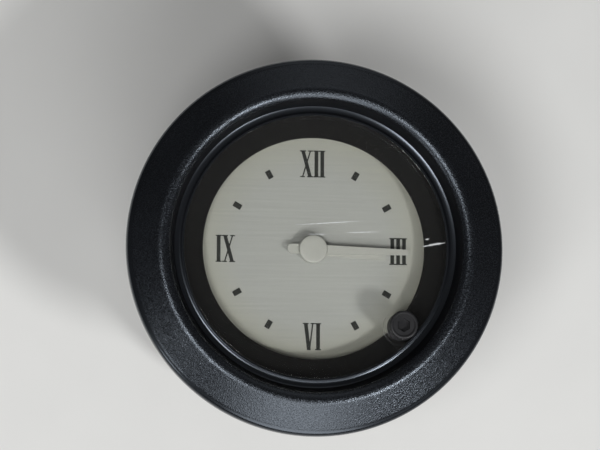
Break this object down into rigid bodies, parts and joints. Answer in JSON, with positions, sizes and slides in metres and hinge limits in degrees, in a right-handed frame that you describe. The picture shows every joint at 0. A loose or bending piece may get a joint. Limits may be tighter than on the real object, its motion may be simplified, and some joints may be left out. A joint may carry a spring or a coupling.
{
  "type": "dashboard clock",
  "caption": "Round car dashboard clock: black bezel, clear lens, silver dial with Roman numerals, white hands, push-and-turn setting knob and a quartz movement in its case.",
  "frame": {"origin": "on the clock's axis, in the plane where the bezel seats on the dashboard", "axes": "+Z out of the face along the clock's axis, +Y to twelve o'clock, +X to three o'clock"},
  "size_m": [0.062, 0.062, 0.0466],
  "materials": {
    "bezel_black": "fine leather grain, satin",
    "lens_clear": "clear acrylic, polished, light scratches",
    "seal_rubber": "matt",
    "shroud_black": "dead matt",
    "dial_silver": "fine horizontal brushing",
    "dial_print": "matt printing paint",
    "hand_white": "matt white paint",
    "knob_black": "satin",
    "steel": "turned",
    "zinc_steel": "zinc plated",
    "brass": "turned",
    "wheel_acetal": "natural acetal",
    "frame_plastic": "moulded light grey",
    "magnet": "sintered",
    "lamination": "punched soft iron",
    "bobbin_plastic": "moulded",
    "winding_copper": "enamelled copper wire",
    "board_green": "solder mask on glass fibre",
    "chip_black": "moulded",
    "crystal_can": "drawn can",
    "capacitor_sleeve": "shrink sleeve",
    "resistor_body": "lacquered",
    "case_black": "moulded, matt",
    "holder_plastic": "moulded, matt",
    "lamp_glass": "clear"
  },
  "bodies": {
    "root": {"bezel": "bezel_black", "lens": "lens_clear", "lens_seal": "seal_rubber", "dial_shroud": "shroud_black", "dial_plate": "dial_silver", "dial_markings": "dial_print", "stem_bush": "brass", "setting_spring": "steel", "minute_wheel_post": "steel", "minute_wheel_clip": "steel", "centre_bush": "brass", "stator": "lamination", "coil_core": "lamination", "coil_bobbin": "bobbin_plastic", "coil_winding": "winding_copper", "front_plate": "frame_plastic", "back_plate": "frame_plastic", "plate_pillars": "brass", "board_spacers": "frame_plastic", "frame_screws": "steel", "circuit_board": "board_green", "clock_chip": "chip_black", "quartz_crystal": "crystal_can", "smoothing_capacitor": "capacitor_sleeve", "resistors": "resistor_body", "case": "case_black", "terminal_blades": "brass", "lamp_holder": "holder_plastic", "lamp": "lamp_glass", "mounting_studs": "zinc_steel", "stud_washers": "zinc_steel", "stud_nuts": "zinc_steel"},
    "minute_group": {"centre_arbor": "steel", "clutch_spring": "brass", "clutch_collar": "steel", "cannon_pinion": "brass", "minute_hand": "hand_white", "hub_cap": "hand_white"},
    "minute_wheel": {"minute_wheel": "wheel_acetal"},
    "hour_group": {"hour_wheel": "wheel_acetal", "hour_hand": "hand_white"},
    "centre_wheel": {"centre_wheel": "wheel_acetal"},
    "third_wheel": {"third_wheel": "wheel_acetal"},
    "seconds_wheel": {"seconds_wheel": "wheel_acetal"},
    "step_wheel": {"step_wheel": "wheel_acetal"},
    "rotor": {"rotor": "wheel_acetal", "rotor_magnet": "magnet"},
    "stem_slide": {"stem_washer": "steel"},
    "knob_group": {"setting_knob": "knob_black", "setting_stem": "steel", "setting_pinion": "brass"}
  },
  "joints": [
    {"name": "minute_hand_turn", "type": "hinge", "parent": "root", "child": "minute_group", "pos_m": [0, 0, 0], "axis": [0, 0, -1], "continuous": true},
    {"name": "minute_wheel_turn", "type": "hinge", "parent": "root", "child": "minute_wheel", "pos_m": [0.00713, -0.00642, 0], "axis": [0, 0, -1], "continuous": true},
    {"name": "hour_hand_turn", "type": "hinge", "parent": "root", "child": "hour_group", "pos_m": [0, 0, 0], "axis": [0, 0, -1], "continuous": true},
    {"name": "seconds_wheel_turn", "type": "hinge", "parent": "root", "child": "seconds_wheel", "pos_m": [-0.00665, 0.00991, 0], "axis": [0, 0, -1], "continuous": true},
    {"name": "centre_wheel_turn", "type": "hinge", "parent": "root", "child": "centre_wheel", "pos_m": [0, 0, 0], "axis": [0, 0, -1], "continuous": true},
    {"name": "third_wheel_turn", "type": "hinge", "parent": "root", "child": "third_wheel", "pos_m": [-0.00762, 0.0044, 0], "axis": [0, 0, -1], "continuous": true},
    {"name": "step_wheel_turn", "type": "hinge", "parent": "root", "child": "step_wheel", "pos_m": [-0.00139, 0.01183, 0], "axis": [0, 0, -1], "continuous": true},
    {"name": "rotor_turn", "type": "hinge", "parent": "root", "child": "rotor", "pos_m": [0.00334, 0.011, 0], "axis": [0, 0, -1], "continuous": true},
    {"name": "knob_push", "type": "slide", "parent": "root", "child": "stem_slide", "axis": [0, 0, -1], "range_m": [0, 0.0012], "stiffness_N_per_m": 300, "springref_m": -0.004, "deforming": ["setting_spring"]},
    {"name": "knob_turn", "type": "hinge", "parent": "stem_slide", "child": "knob_group", "pos_m": [0.01427, -0.01285, 0], "axis": [0, 0, -1], "continuous": true}
  ],
  "couplings": [
    {"joint": "minute_wheel_turn", "follows": "minute_hand_turn", "ratio": -0.33333},
    {"joint": "hour_hand_turn", "follows": "minute_hand_turn", "ratio": 0.083333},
    {"joint": "centre_wheel_turn", "follows": "seconds_wheel_turn", "ratio": 0.016667},
    {"joint": "third_wheel_turn", "follows": "seconds_wheel_turn", "ratio": -0.16667},
    {"joint": "step_wheel_turn", "follows": "seconds_wheel_turn", "ratio": -6},
    {"joint": "rotor_turn", "follows": "seconds_wheel_turn", "ratio": 30}
  ]
}
